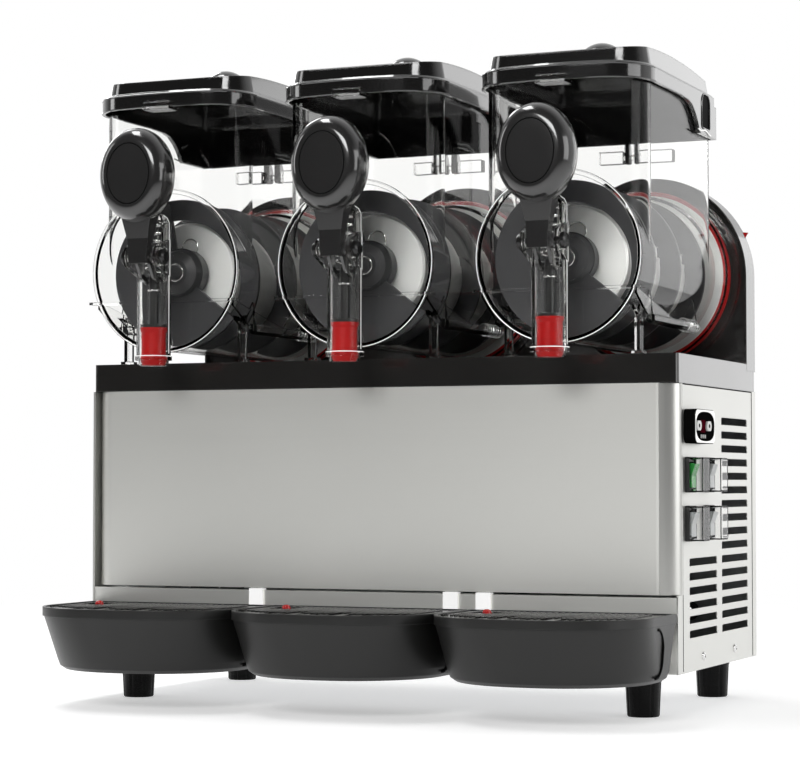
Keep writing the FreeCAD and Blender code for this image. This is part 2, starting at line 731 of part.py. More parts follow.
def make_drip_tray(x):
    """Tray with an upright rim, walls that taper most at the front, a grate ledge and a rear rib."""
    rim = tray_rim(x, 0.0, tray_rim_bottom, tray_rim_top)
    bottom_edge = tray_bottom + 3.2
    body_levels = [(tray_bottom, 10.0, 19.0, 17.0, 80.0), (bottom_edge, 5.4, 14.4, 13.4, 84.0)]
    body_levels += [(tray_bottom + 9.0, 3.4, 12.0, 11.4, 86.0), (tray_rim_bottom, 0.6, 1.6, 1.6, 71.0)]
    body = tray_taper(x, body_levels)
    rib = block(x - 66.0, x + 66.0, tray_rear - 1.0, front_y + 0.5, tray_rim_bottom, tray_rim_top - 2.0)
    seat = tray_rim(x, 3.0, 87.0, tray_rim_top)
    floor = tray_bottom + tray_wall
    inside_levels = [(floor, 8.6, 17.6, 16.0, 80.0), (floor + 7.0, 6.2, 14.6, 14.0, 82.0)]
    inside_levels.append((87.0, 6.4, 6.4, 6.4, 66.0))
    inside = tray_taper(x, inside_levels)
    return join(rim, body, rib).cut([seat, inside] + tray_side_groove(x))


def make_tray_brackets():
    """White steel brackets on the front band: wedges under the trays' rear walls and three straps."""
    band_face = front_y + 0.7
    wedge_side = [(band_face, 48.0), (band_face, 80.0), (-60.2, 80.0), (-68.0, 48.0)]
    strap_side = [(-57.9, 80.0), (-56.4, 80.0), (-56.4, 104.6), (-50.0, 104.6), (-50.0, 105.8), (-57.9, 105.8)]
    pieces = []
    for x in bowl_x:
        for spot in (-78.0, 78.0):
            pieces.append(prism_x(wedge_side, [0] * 4, x + spot - 7.0, x + spot + 7.0))
    for x in (-115.5, 78.5, 110.0):
        pieces.append(prism_x(strap_side, [0] * 6, x - 7.0, x + 7.0))
    return Part.makeCompound(pieces)


def make_drip_grate(x):
    """Slotted grate that drops into the tray's rim, with a float hole and a finger notch."""
    plate = tray_rim(x, 3.5, 87.0, 90.0)
    holes = []
    for column in range(11):
        slot_x = x + (column - 5) * 15.0
        for row in range(3):
            y0 = tray_front + 22.0 + 37.0 * row
            if row == 0 and abs(column - 5) > 3:
                continue
            if row == 2 and column in (3, 4):
                continue
            holes.append(block(slot_x - 3.5, slot_x + 3.5, y0, y0 + 30.0, 87.0, 90.0))
    plate = plate.cut(holes)
    collar = rod_z(10.0, x - 62.0, -103.0, 87.0, 90.0)
    hole = rod_z(6.3, x - 62.0, -103.0, 86.0, 92.0)
    notch = prism_z(rectangle(x - 36.0, x - 6.0, -74.0, -50.0), [6.0, 6.0, 0, 0], 86.0, 92.0)
    return join(plate, collar).cut([hole, notch])


def make_float(x):
    """Red float: a disc that stands on the tray's floor and a button that shows above the grate."""
    floor = tray_bottom + tray_wall + 0.1
    profile = [(0, floor), (11.0, floor), (11.0, floor + 9.0), (3.0, floor + 9.0), (3.0, 84.0), (6.0, 84.0)]
    profile += [(6.0, 93.0), (3.5, 96.5), (0, 96.5)]
    return revolve_z(profile, x - 62.0, -103.0)


# Controls

def make_thermostat():
    """Controller: body behind the panel, thick bezel and a black oval window."""
    bezel = prism_x(rectangle(-38.0, 24.0, 238.0, 268.0), [7.0] * 4, side_x - 0.6, side_x + 10.0)
    body = block(side_x - 40.0, side_x - 0.6, -34.0, 20.0, 241.0, 265.0)
    window = prism_x(rectangle(-36.5, 22.5, 240.7, 265.3), [12.2] * 4, side_x + 9.2, side_x + 10.0)
    shape = join(bezel, body).cut(window)
    holes = []
    for y in (-27.5, 4.0):
        holes.append(key_outline(y, 0.3, side_x + 4.0, side_x + 10.0))
    return shape.cut(holes)


def key_outline(y, margin, x0, x1):
    half_y = 7.0 + margin
    half_z = 4.3 + margin
    corners = rectangle(y - half_y, y + half_y, 253.5 - half_z, 253.5 + half_z)
    return prism_x(corners, [half_z - 0.05] * 4, x0, x1)


def make_key(y):
    return key_outline(y, 0.0, side_x + 5.1, side_x + 11.0)


def make_switch_bezels():
    """Black frames of the four rocker switches, with their bodies behind the panel."""
    frames = []
    for y, z in switch_spots:
        flange = block(side_x - 0.6, side_x + 2.0, y - 11.0, y + 11.0, z - 15.1, z + 15.1)
        body = block(side_x - 24.0, side_x - 0.6, y - 9.0, y + 9.0, z - 13.0, z + 13.0)
        well = block(side_x - 10.0, side_x + 2.0, y - 7.4, y + 7.4, z - 11.5, z + 11.5)
        frames.append(join(flange, body).cut(well))
    return Part.makeCompound(frames)


def make_rocker(y, z):
    """Rocker on its pivot pin in the frame; its outer face is a shallow V."""
    profile = [(side_x - 6.0, -5.0), (side_x + 1.5, -10.4), (side_x + 6.4, -10.6), (side_x + 4.6, 0.0)]
    profile += [(side_x + 6.4, 10.6), (side_x + 1.5, 10.4), (side_x - 6.0, 5.0)]
    points = [V(px, y - 7.0, z + pz) for px, pz in profile]
    face = Part.Face(Part.makePolygon(points + points[:1]))
    rocker = face.extrude(V(0, 14.0, 0))
    rocker.rotate(V(side_x, y, z), V(0, 1, 0), rocker_tilt)
    return join(rocker, rod_y(1.5, side_x, z, y - 7.3, y + 7.3))


def make_switch_covers():
    """Clear splash boots over the rockers, clipped round the frames."""
    covers = []
    for y, z in switch_spots:
        outer = prism_x(rectangle(y - 11.0, y + 11.0, z - 15.1, z + 15.1), [3.0] * 4,
                        side_x + 2.0, side_x + cover_reach)
        inner = block(side_x + 2.0, side_x + cover_reach - 1.2, y - 9.6, y + 9.6, z - 13.7, z + 13.7)
        covers.append(outer.cut(inner))
    return Part.makeCompound(covers)


# Refrigeration unit

def make_compressor():
    """Hermetic compressor on its foot plate and four rubber bushes."""
    x = 120.0
    y = 90.0
    floor = base_z + 2.0
    plate = block(x - 80, x + 80, y - 50, y + 50, floor + 10.0, floor + 13.0)
    shell = [(0, floor + 13), (56, floor + 13), (64, floor + 30), (64, floor + 115), (44, floor + 148)]
    shell += [(0, floor + 148)]
    bushes = []
    for bx in (x - 68, x + 68):
        for by in (y - 38, y + 38):
            bushes.append(block(bx - 8, bx + 8, by - 8, by + 8, floor, floor + 16.0))
    stub = rod_x(5.0, y + 20, floor + 60, x - 95, x)
    return join(revolve_z(shell, x, y), plate, stub, *bushes)


def make_condenser():
    """Finned heat exchanger beside the left panel."""
    floor = base_z + 2.0
    x0 = -280.0
    x1 = -240.0
    core = block(x0 + 3, x1 - 3, -5, 165, floor, floor + 185)
    fins = []
    for i in range(16):
        y = -5 + 10.9 * i
        fins.append(block(x0, x1, y, y + 5.4, floor, floor + 185))
    return join(core, *fins)


def make_fan_motor():
    """Fan motor on a sheet bracket that stands on the base pan."""
    floor = base_z + 2.0
    y = 80.0
    z = 135.0
    motor = rod_x(32.0, y, z, -195.0, -140.0)
    shaft = rod_x(3.0, y, z, -214.0, -195.0)
    foot = block(-185, -130, y - 40, y + 40, floor, floor + 2)
    post = block(-170, -167, y - 40, y + 40, floor, z)
    return join(motor, shaft, foot, post)


def make_fan_blade():
    """Hub with five pitched blades."""
    y = 80.0
    z = 135.0
    x0 = -225.0
    hub = rod_x(14.0, y, z, x0, x0 + 16.0).cut(rod_x(3.05, y, z, x0 + 4.0, x0 + 16.0))
    blades = []
    for i in range(5):
        blade = prism_z(rectangle(-1.0, 1.0, 10.0, 78.0), [0] * 4, -22.0, 22.0)
        blade.rotate(V(0, 0, 0), V(0, 1, 0), 62.0)
        blade.rotate(V(0, 0, 0), V(1, 0, 0), 72.0 * i)
        blade.translate(V(x0 + 8.0, y, z))
        blades.append(blade)
    slab = block(x0 - 2.0, x0 + 18.0, y - 90, y + 90, z - 90, z + 90)
    return join(hub, *[blade.common(slab) for blade in blades])


os.makedirs("parts", exist_ok=True)

export("base_pan", make_base_pan())
export("feet", make_feet())
export("front_panel", make_front_panel())
export("front_band", make_front_band())
export("tray_brackets", make_tray_brackets())
export("side_panel_right", make_right_panel())
export("side_panel_left", make_left_panel())
export("back_panel", make_back_panel())
export("cable_gland", make_cable_gland())
export("top_deck", make_top_deck())
export("rear_housing", make_rear_housing())
export("rear_cover", make_rear_cover())
export("gearmotors", Part.makeCompound([make_gearmotor(x) for x in bowl_x]))
export("bowl_gaskets", Part.makeCompound([make_gasket(x) for x in bowl_x]))
export("thermostat", make_thermostat())
export("key_front", make_key(-27.5))
export("key_rear", make_key(4.0))
export("switch_bezels", make_switch_bezels())
export("switch_covers", make_switch_covers())
export("compressor", make_compressor())
export("condenser", make_condenser())
export("fan_motor", make_fan_motor())
export("fan_blade", make_fan_blade())
for number, (y, z) in enumerate(switch_spots, start=1):
    export("rocker_%d" % number, make_rocker(y, z))
for number, x in enumerate(bowl_x, start=1):
    export("evaporator_%d" % number, make_evaporator(x))
    export("auger_%d" % number, make_auger(x))
    export("bowl_%d" % number, make_bowl(x))
    export("lid_%d" % number, make_lid(x))
    export("lever_%d" % number, make_lever(x))
    export("tap_pin_%d" % number, make_tap_pin(x))
    export("plunger_%d" % number, make_plunger(x))
    export("plunger_seal_%d" % number, make_plunger_seal(x))
    export("drip_tray_%d" % number, make_drip_tray(x))
    export("drip_grate_%d" % number, make_drip_grate(x))
    export("float_%d" % number, make_float(x))
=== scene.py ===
import json
import math

import bpy
import bmesh
from mathutils import Matrix, Vector


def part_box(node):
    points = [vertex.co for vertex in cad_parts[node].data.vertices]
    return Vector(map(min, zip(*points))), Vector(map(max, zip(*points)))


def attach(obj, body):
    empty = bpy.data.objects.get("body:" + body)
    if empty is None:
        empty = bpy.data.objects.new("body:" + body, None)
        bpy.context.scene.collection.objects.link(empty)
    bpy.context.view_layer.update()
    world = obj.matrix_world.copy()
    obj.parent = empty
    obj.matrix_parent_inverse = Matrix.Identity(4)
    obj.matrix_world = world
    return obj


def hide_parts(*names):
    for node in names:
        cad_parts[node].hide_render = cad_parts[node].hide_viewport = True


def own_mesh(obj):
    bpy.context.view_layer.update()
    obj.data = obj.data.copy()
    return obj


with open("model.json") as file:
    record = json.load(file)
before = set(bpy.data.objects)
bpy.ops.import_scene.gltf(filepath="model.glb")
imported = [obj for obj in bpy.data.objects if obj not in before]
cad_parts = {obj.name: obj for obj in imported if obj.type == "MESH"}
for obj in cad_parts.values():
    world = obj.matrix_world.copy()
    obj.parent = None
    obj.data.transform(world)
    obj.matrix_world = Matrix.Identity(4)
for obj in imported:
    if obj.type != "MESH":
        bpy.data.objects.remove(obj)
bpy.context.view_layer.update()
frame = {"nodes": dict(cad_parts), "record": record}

scene = bpy.context.scene
scene.view_settings.view_transform = "Standard"


# Finishes

SCRATCH_ALONG, SCRATCH_ACROSS = 6.0, 1100.0   # grain of ground steel, per metre
WIPE_CLOUDS = 3.5
FLOW_MARKS, FINE_GRAIN = 14.0, 1500.0         # marks of moulding, per metre
NOISE_LOW, NOISE_HIGH = 0.35, 0.65            # where most of a noise lies
# Painted light on the steel sheets: full at the lower height, gone at the upper one.
PAINTED_LIFT_BOTTOM, PAINTED_LIFT_TOP = 0.08, 0.29            # heights in metres
ACRYLIC_IOR = 1.49


class Value:
    """One value on its way through a finish. Python's operators add Math nodes."""

    def __init__(self, finish, socket):
        self.finish = finish
        self.socket = socket

    def _math(self, operation, *parts):
        settings = {"operation": operation}
        return self.finish.node("ShaderNodeMath", settings, dict(enumerate(parts)))

    def __add__(self, other):
        return self._math("ADD", self, other)

    def __radd__(self, other):
        return self._math("ADD", other, self)

    def __sub__(self, other):
        return self._math("SUBTRACT", self, other)

    def __rsub__(self, other):
        return self._math("SUBTRACT", other, self)

    def __mul__(self, other):
        return self._math("MULTIPLY", self, other)

    def __rmul__(self, other):
        return self._math("MULTIPLY", other, self)

    def at_least(self, other):
        return self._math("MAXIMUM", self, other)

    def at_most(self, other):
        return self._math("MINIMUM", self, other)


class Finish:
    """The nodes of one surface's material, or of the light round the machine."""

    def __init__(self, owner, place="Object"):
        self.owner = owner
        owner.use_nodes = True
        self.tree = owner.node_tree
        self.tree.nodes.clear()
        self.place = self.node("ShaderNodeTexCoord", output=place)

    def node(self, kind, settings=None, inputs=None, output=0):
        """Adds a node: first its settings, then the values or links of its sockets."""
        made = self.tree.nodes.new(kind)
        for key, value in (settings or {}).items():
            setattr(made, key, value)
        for key, value in (inputs or {}).items():
            if isinstance(value, Value):
                self.tree.links.new(value.socket, made.inputs[key])
            else:
                made.inputs[key].default_value = value
        return Value(self, made.outputs[output])

    def stretched(self, x, y, z):
        """The surface's own place, scaled along each axis."""
        return self.node(
            "ShaderNodeVectorMath", {"operation": "MULTIPLY"}, {0: self.place, 1: (x, y, z)})

    def noise(self, scale, detail, place=None):
        return self.node("ShaderNodeTexNoise", {}, {
            "Vector": place or self.place, "Scale": scale, "Detail": detail})

    def mix_colour(self, share, first, second):
        return self.node(
            "ShaderNodeMix", {"data_type": "RGBA"}, {0: share, 6: first, 7: second}, output=2)

    def spread(self, value, low, high, to_low, to_high):
        """Carries a value from one range to another and holds it there."""
        return self.node("ShaderNodeMapRange", {}, {
            0: value, 1: low, 2: high, 3: to_low, 4: to_high})

    def soft_edge(self, radius):
        """Normal that rolls over an edge, as a moulded or deburred edge does."""
        return self.node("ShaderNodeBevel", {"samples": 4}, {"Radius": radius})

    def bump(self, height, strength, distance, normal):
        return self.node("ShaderNodeBump", {}, {
            "Height": height, "Strength": strength, "Distance": distance, "Normal": normal})

    def surface(self, **sockets):
        self.show(self.node("ShaderNodeBsdfPrincipled", {}, {
            key.replace("_", " "): value for key, value in sockets.items()}))

    def show(self, shader, output="ShaderNodeOutputMaterial"):
        end = self.tree.nodes.new(output)
        self.tree.links.new(shader.socket, end.inputs["Surface"])


def new_finish(name):
    return Finish(bpy.data.materials.new(name))


def tone(r, g, b):
    return (r, g, b, 1.0)


def satin_steel(name, colour, along, roughness, streak, metal=1.0, painted_lift=0.0):
    """Ground sheet steel: very fine long scratches and soft clouds from wiping.

    The last argument is painted light: the sheet's colour is made lighter towards its lower
    edge.
    """
    f = new_finish(name)
    scale = [SCRATCH_ALONG if axis == along else SCRATCH_ACROSS for axis in "xyz"]
    grain = f.noise(1.0, 3.0, f.stretched(*scale))
    cloud = f.noise(WIPE_CLOUDS, 2.0)
    dark = tone(*[c * (1.0 - streak) for c in colour])
    streaks = f.spread(grain * 0.7 + cloud * 0.3, NOISE_LOW, NOISE_HIGH, 0.0, 1.0)
    sheet = f.mix_colour(streaks, dark, tone(*colour))
    # Painted light: the sheet's colour is made lighter towards its lower edge.
    if painted_lift:
        height = f.node("ShaderNodeSeparateXYZ", {}, {0: f.place}, output="Z")
        painted_lift_share = f.spread(height, PAINTED_LIFT_TOP, PAINTED_LIFT_BOTTOM, 0.0, 1.0)
        light = tone(*[min(1.0, c * (1.0 + painted_lift)) for c in colour])
        sheet = f.mix_colour(painted_lift_share, sheet, light)
    wear = grain * 0.4 + cloud * 0.6
    f.surface(
        Base_Color=sheet,
        Metallic=metal,
        Roughness=f.spread(wear, NOISE_LOW, NOISE_HIGH, roughness - 0.03, roughness + 0.04),
        Normal=f.bump(grain, 0.04, 0.0002, f.soft_edge(0.0006)))
    return f.owner


def moulded(name, colour, roughness, grain=0.0, spec=0.5, coat=0.0, edge=0.0008, painted_glow=0.0):
    """Moulded plastic or rubber: faint flow marks, a fine grain and softened edges."""
    f = new_finish(name)
    flow = f.noise(FLOW_MARKS, 2.0)
    fine = f.noise(FINE_GRAIN, 2.0)
    dark = tone(*[c * 0.85 for c in colour])
    light = tone(*[min(1.0, c * 1.12 + 0.0005) for c in colour])
    matt = roughness * 1.18
    f.surface(
        Base_Color=f.mix_colour(flow, dark, light),
        Roughness=f.spread(
            flow * 0.5 + fine * 0.5, NOISE_LOW, NOISE_HIGH, roughness * 0.85, matt),
        Specular_IOR_Level=spec,
        Coat_Weight=coat,
        Coat_Roughness=0.04,
        # Painted light: a glow above zero makes the surface shine in its own colours, though
        # it is no lamp.
        Emission_Color=f.mix_colour(flow, dark, light),
        Emission_Strength=painted_glow,
        Normal=f.bump(fine * grain + flow * 0.1, 0.3, 0.0003, f.soft_edge(edge)))
    return f.owner


def clear_plastic(name, colour, edge, shine, tint=0.35):
    """Clear moulded plastic that bends light and mirrors a little. Lamps reach through it."""
    f = new_finish(name)
    normal = f.bump(f.noise(9.0, 1.0), 0.03, 0.0004, f.soft_edge(edge))
    bending = f.node("ShaderNodeBsdfRefraction", {}, {
        "Color": tone(*colour), "Roughness": 0.0, "IOR": ACRYLIC_IOR, "Normal": normal})
    glossy = f.node("ShaderNodeBsdfPrincipled", {}, {
        "Base Color": tone(*colour),
        "Roughness": 0.0,
        "IOR": ACRYLIC_IOR,
        "Transmission Weight": 1.0,
        "Specular Tint": tone(tint, tint, tint),
        "Normal": normal})
    body = f.node("ShaderNodeMixShader", {}, {0: shine, 1: bending, 2: glossy})
    open_air = f.node("ShaderNodeBsdfTransparent", {}, {"Color": tone(0.95, 0.955, 0.95)})
    lamp = f.node("ShaderNodeLightPath", output="Is Shadow Ray")
    f.show(f.node("ShaderNodeMixShader", {}, {0: lamp, 1: body, 2: open_air}))
    return f.owner


finishes = {
    # The front and side sheets are painted lighter towards their lower edges: painted light.
    "satin_steel": satin_steel(
        "front_satin_steel", (0.61, 0.61, 0.585), "x", 0.52, 0.03, painted_lift=0.42),
    "panel_steel": satin_steel(
        "side_satin_steel", (0.62, 0.62, 0.597), "z", 0.42, 0.02, painted_lift=0.1),
    "zinc_steel": satin_steel("zinc_plated_sheet", (0.55, 0.56, 0.57), "x", 0.45, 0.08),
    "foot_rubber": moulded(
        "foot_rubber", (0.004, 0.004, 0.004), 0.26, grain=0.1, spec=0.12, edge=0.0004),
    "gloss_black": moulded(
        "deck_gloss_black", (0.014, 0.013, 0.012), 0.20, coat=0.8, edge=0.0016),
    "lid_black": moulded(
        "lid_gloss_black", (0.009, 0.0088, 0.0085), 0.12, coat=1.0, edge=0.0030),
    "matte_black": moulded("matt_black", (0.012, 0.012, 0.012), 0.6, grain=0.5),
    "motor_grey": moulded("motor_paint", (0.30, 0.31, 0.32), 0.45, grain=0.3),
    "red_rubber": moulded(
        "seal_red_silicone", (0.36, 0.0015, 0.0015), 0.40, grain=0.2, spec=0.25),
    "control_black": moulded("controller_black", (0.004, 0.004, 0.004), 0.30, spec=0.0),
    "switch_black": moulded("switch_black", (0.012, 0.012, 0.012), 0.38, grain=0.3),
    "clear_boot": clear_plastic("switch_boot_clear", (0.99, 0.99, 0.99), 0.0004, 0.35, 0.6),
    "compressor_black": moulded("compressor_paint", (0.012, 0.012, 0.012), 0.28, grain=0.2),
    "fin_aluminium": satin_steel("condenser_fins", (0.75, 0.76, 0.78), "z", 0.4, 0.1),
    "fan_plastic": moulded("fan_plastic", (0.03, 0.03, 0.03), 0.5, grain=0.4),
    "key_white": moulded("key_white", (0.78, 0.78, 0.76), 0.40, grain=0.2),
    "rocker_green": moulded("rocker_green_lens", (0.02, 0.22, 0.035), 0.22),
    "rocker_grey": moulded("rocker_grey", (0.40, 0.41, 0.41), 0.30, grain=0.2),
    "drum_steel": satin_steel(
        "drum_steel", (0.84, 0.84, 0.82), "z", 0.46, 0.02, metal=0.55),
    "scraper_plastic": moulded(
        "scraper_plastic", (0.034, 0.034, 0.036), 0.42, grain=0.3, spec=0.4),
    "clear_plastic": clear_plastic("bowl_clear", (0.99, 0.99, 0.985), 0.0007, 0.5),
    "lever_black": moulded(
        "lever_black", (0.024, 0.0235, 0.0235), 0.20, coat=1.0, edge=0.0012),
    "pin_black": moulded("pin_black", (0.010, 0.010, 0.010), 0.18),
    "rod_black": moulded("rod_black", (0.016, 0.016, 0.016), 0.30, grain=0.2),
    # White tray brackets with a painted glow: painted light, as they are no lamp.
    "bracket_white": moulded("bracket_white", (0.93, 0.93, 0.92), 0.35, painted_glow=0.6),
    "tray_black": moulded(
        "tray_black", (0.012, 0.012, 0.0115), 0.36, grain=0.9, spec=0.42, edge=0.0016),
    "grate_black": moulded("grate_black", (0.020, 0.0195, 0.0185), 0.26, coat=0.3),
    "red_plastic": moulded("float_red", (0.55, 0.006, 0.006), 0.2),
}
spring_steel = satin_steel("spring_steel", (0.80, 0.80, 0.79), "z", 0.16, 0.02)
# Painted shade: near-black for gaps, grooves and pockets that lie in shadow.
painted_groove_shade = moulded("groove_shade", (0.002, 0.002, 0.002), 0.8, spec=0.1)
display_red = moulded("display_red", (0.060, 0.003, 0.008), 0.4, spec=0.0)
lid_bead = moulded("lid_bead", (0.02, 0.02, 0.0195), 0.10, spec=1.0, coat=1.0, edge=0.0)
# Painted highlight: pale glowing beads that stand in for the shine on the clear plastic's
# polished edges.
painted_edge_highlight = moulded(
    "painted_highlight_polished_edges", (0.85, 0.85, 0.84), 0.12, spec=0.6, coat=0.6, edge=0.0, painted_glow=0.5)
roll_steel = satin_steel("roll_satin_steel", (0.64, 0.64, 0.615), "z", 0.31, 0.02)
bezel_silver = satin_steel("bezel_silver", (0.78, 0.78, 0.76), "y", 0.28, 0.02)

node_slots = {row["node"]: row["material_slot"] for row in frame["record"]["subparts"]}
for name, thing in frame["nodes"].items():
    thing.data.materials.clear()
    thing.data.materials.append(finishes[node_slots[name]])


# Places, in millimetres from the machine's working datum. X runs to the right side,
# Y to the back and Z up.

DATUM_X, DATUM_Y = 7.85, 6.0          # the datum, seen from the frame's origin
SIDES = ((-1, "left"), (1, "right"))

PITCH = 193.5                         # from bowl to bowl
AXIS_Z = 400.5                        # axis of barrel, drum and scraper
TUBE_Y = -113.0                       # axis of the tap tube
TUBE_BOTTOM = 322.0
PIVOT_Y, PIVOT_Z = -130.0, 410.0      # pin of the tap lever

KNOB_Z = 483.5
KNOB_FACE_Y = -162.5
KNOB_SHOULDER = 22.6                  # half the width of the flat face
KNOB_TALL, KNOB_TALL_DROP = 1.28, 0.06

SPRING_Z, SPRING_LENGTH = 396.6, 47.0

LID_HALF = 79.0
LID_BACK = 131.0
CROWN_HALF, CROWN_INSET = 75.0, 5.6
CROWN_FRONT, CROWN_BACK = -84.0, 123.5
CROWN_Z, CROWN_Y, CROWN_RADIUS = 585.9, 12.0, 833.0

FLOAT_X, FLOAT_Y = 62.0, -103.0       # X to the left of the tray's middle
RIB_STEP, RIB_HALF = 6.0, 0.9
RIB_LOW, RIB_HIGH = 90.0, 91.2

FOOT_X, FOOT_YS = 251.3, (-35.3, 181.7)

PANEL_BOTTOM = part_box("front_panel")[0].z * 1000.0
SHEET_BOTTOM, SHEET_TOP, SHEET_BACK = 38.6, 289.3, 200.0
SIDE_X = 290.0                        # outer face of the right side
SEAM_Y = -41.0
ROLL_X, ROLL_Y = 250.1, -41.9         # middle of the front corner's arc
SLOT_Z, SLOT_STEP = 67.5, 12.59
SWITCH_YS, SWITCH_ZS = (-23.0, 35.0), (168.0, 210.6)
KEYS_Z = 253.5


def at(x, y, z):
    """Millimetres from the working datum to metres in the frame."""
    return Vector((x - DATUM_X, y - DATUM_Y, z)) * 0.001


def around(centre, axis, u, v, along=0.0):
    """Point beside an axis: u and v across it, and a distance along it."""
    x, y, z = centre
    return {"x": (x + along, y + u, z + v),
            "y": (x + u, y + along, z + v),
            "z": (x + u, y + v, z + along)}[axis]


def spoke(radius, i, steps):
    """Point i of a circle that is divided into steps."""
    turn = 2.0 * math.pi * i / steps
    return radius * math.cos(turn), radius * math.sin(turn)


# Pieces

def add_piece(name, mesh, body, slot, material=None, smooth=True):
    """Puts a finished mesh in the scene, on its body and in its slot."""
    piece = bpy.data.objects.new(name, mesh)
    scene.collection.objects.link(piece)
    mesh.materials.clear()
    mesh.materials.append(material or finishes[slot])
    if smooth:
        mesh.shade_smooth()
        mesh.set_sharp_from_angle(angle=math.radians(38.0))
    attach(piece, body)
    return piece


def finish_mesh(name, bm):
    mesh = bpy.data.meshes.new(name)
    bm.to_mesh(mesh)
    bm.free()
    return mesh


def add_skin(bm, loops):
    """Faces between neighbouring loops, each loop with the same number of points."""
    for a, b in zip(loops, loops[1:]):
        for j in range(len(a)):
            k = (j + 1) % len(a)
            bm.faces.new((a[j], a[k], b[k], b[j]))


def rings_mesh(name, rings, closed=False):
    """Skin over rings of points. A closed row of rings has no ends, another is capped."""
    bm = bmesh.new()
    loops = [[bm.verts.new(p) for p in ring] for ring in rings]
    add_skin(bm, loops + loops[:1] if closed else loops)
    if not closed:
        bm.faces.new(loops[0][::-1])
        bm.faces.new(loops[-1])
    bmesh.ops.recalc_face_normals(bm, faces=bm.faces)
    return finish_mesh(name, bm)


def turned(name, centre, axis, profile, steps=32):
    """Turned solid: profile of (radius, distance along the axis)."""
    rings = []
    for radius, along in profile:
        spokes = [spoke(max(radius, 0.01), i, steps) for i in range(steps)]
        rings.append([at(*around(centre, axis, u, v, along)) for u, v in spokes])
    return rings_mesh(name, rings)


def wire(name, path, radius, sides=8, closed=False):
    """Round wire along a path of points."""
    points = [at(*p) for p in path]
    count = len(points)
    rings = []
    across = None
    for i, point in enumerate(points):
        before = points[i - 1] if closed or i else point
        after = points[(i + 1) % count] if closed or i < count - 1 else point
        along = (after - before).normalized()
        if across is None:
            across = along.orthogonal().normalized()
        across = (across - along * across.dot(along)).normalized()
        other = along.cross(across)
        ring = []
        for j in range(sides):
            u, v = spoke(1.0, j, sides)
            ring.append(point + (across * u + other * v) * radius * 0.001)
        rings.append(ring)
    return rings_mesh(name, rings, closed)


def circle(centre, axis, radius, steps=32):
    return [around(centre, axis, *spoke(radius, i, steps)) for i in range(steps)]


def helix(centre, axis, radius, length, turns, steps=18):
    total = int(turns * steps)
    return [around(centre, axis, *spoke(radius, i, steps), length * i / total)
            for i in range(total + 1)]


def rounded(corners, radii, steps=6):
    """Closed outline with its corners rounded, one radius per corner."""
    points = []
    count = len(corners)
    for i, corner in enumerate(corners):
        here = Vector(corner)
        before = (Vector(corners[i - 1]) - here).normalized()
        after = (Vector(corners[(i + 1) % count]) - here).normalized()
        radius = radii[i]
        if radius <= 0.0:
            points.append(tuple(here))
            continue
        half = before.angle(after) / 2.0
        centre = here + (before + after).normalized() * radius / math.sin(half)
        start = (here + before * radius / math.tan(half) - centre).normalized()
        end = (here + after * radius / math.tan(half) - centre).normalized()
        for k in range(steps + 1):
            points.append(tuple(centre + start.slerp(end, k / steps) * radius))
    return points


def rectangle(u0, u1, v0, v1):
    return [(u0, v0), (u1, v0), (u1, v1), (u0, v1)]


def ellipse(u, v, half_u, half_v, steps=40):
    turns = [2.0 * math.pi * i / steps for i in range(steps)]
    return [(u + half_u * math.cos(t), v + half_v * math.sin(t)) for t in turns]


def side_plate(name, x0, x1, outline, holes=(), edge=0.0):
    """Flat plate that faces +X: outline and holes are (Y, Z) points, edge its bevel."""
    curve = bpy.data.curves.new(name, "CURVE")
    curve.dimensions = "2D"
    curve.fill_mode = "BOTH"
    curve.extrude = (x1 - x0) * 0.0005 - edge * 0.001
    curve.bevel_depth = edge * 0.001
    curve.bevel_resolution = 2
    for ring in [outline] + list(holes):
        spline = curve.splines.new("POLY")
        spline.points.add(len(ring) - 1)
        for point, (u, v) in zip(spline.points, ring):
            point.co = (u * 0.001, v * 0.001, 0.0, 1.0)
        spline.use_cyclic_u = True
    holder = bpy.data.objects.new(name, curve)
    scene.collection.objects.link(holder)
    depsgraph = bpy.context.evaluated_depsgraph_get()
    mesh = bpy.data.meshes.new_from_object(holder.evaluated_get(depsgraph))
    bpy.data.objects.remove(holder)
    middle = at((x0 + x1) / 2.0, 0.0, 0.0)
    upright = ((0, 0, 1, middle.x), (1, 0, 0, middle.y), (0, 1, 0, 0), (0, 0, 0, 1))
    mesh.transform(Matrix(upright))
    mesh.name = name
    return mesh


def make_knob(k, x):
    """Oval knob: flat face with a fine oval groove drawn as a dark line of painted shade, full
    round shoulder and domed back.
    """
    profile = [(0.0, KNOB_FACE_Y), (12.0, KNOB_FACE_Y), (KNOB_SHOULDER, KNOB_FACE_Y)]
    for i in range(1, 13):
        turn = math.radians(90.0 * i / 12)
        profile.append((KNOB_SHOULDER + 12.8 * math.sin(turn), -144.8 - 17.7 * math.cos(turn)))
    profile += [(35.0, -139.5), (33.6, -134.8), (31.0, -131.0), (26.0, -127.4),
                (19.5, -125.2), (0.0, -125.1)]
    rings = []
    steps = 72
    for half, y in profile:
        out = min(1.0, max(0.0, (half - 21.0) / 12.0))
        tall = KNOB_TALL - KNOB_TALL_DROP * out
        half = max(half, 0.02)
        ring = []
        for i in range(steps):
            turn = 2.0 * math.pi * i / steps
            ring.append(at(
                x + half * math.cos(turn), y, KNOB_Z + half * tall * math.sin(turn)))
        rings.append(ring)
    body, slot = f"lever_body_{k}", node_slots[f"lever_{k}"]
    name = f"knob_{k}"
    add_piece(name, rings_mesh(name, rings), body, slot)
    # The groove is a dark wire of painted shade on the flat face.
    line = [(u, KNOB_FACE_Y, v) for u, v in ellipse(x, KNOB_Z, 21.6, 27.6, 64)]
    name = f"knob_groove_shade_{k}"
    add_piece(name, wire(name, line, 0.5, 6, closed=True), body, slot, painted_groove_shade)


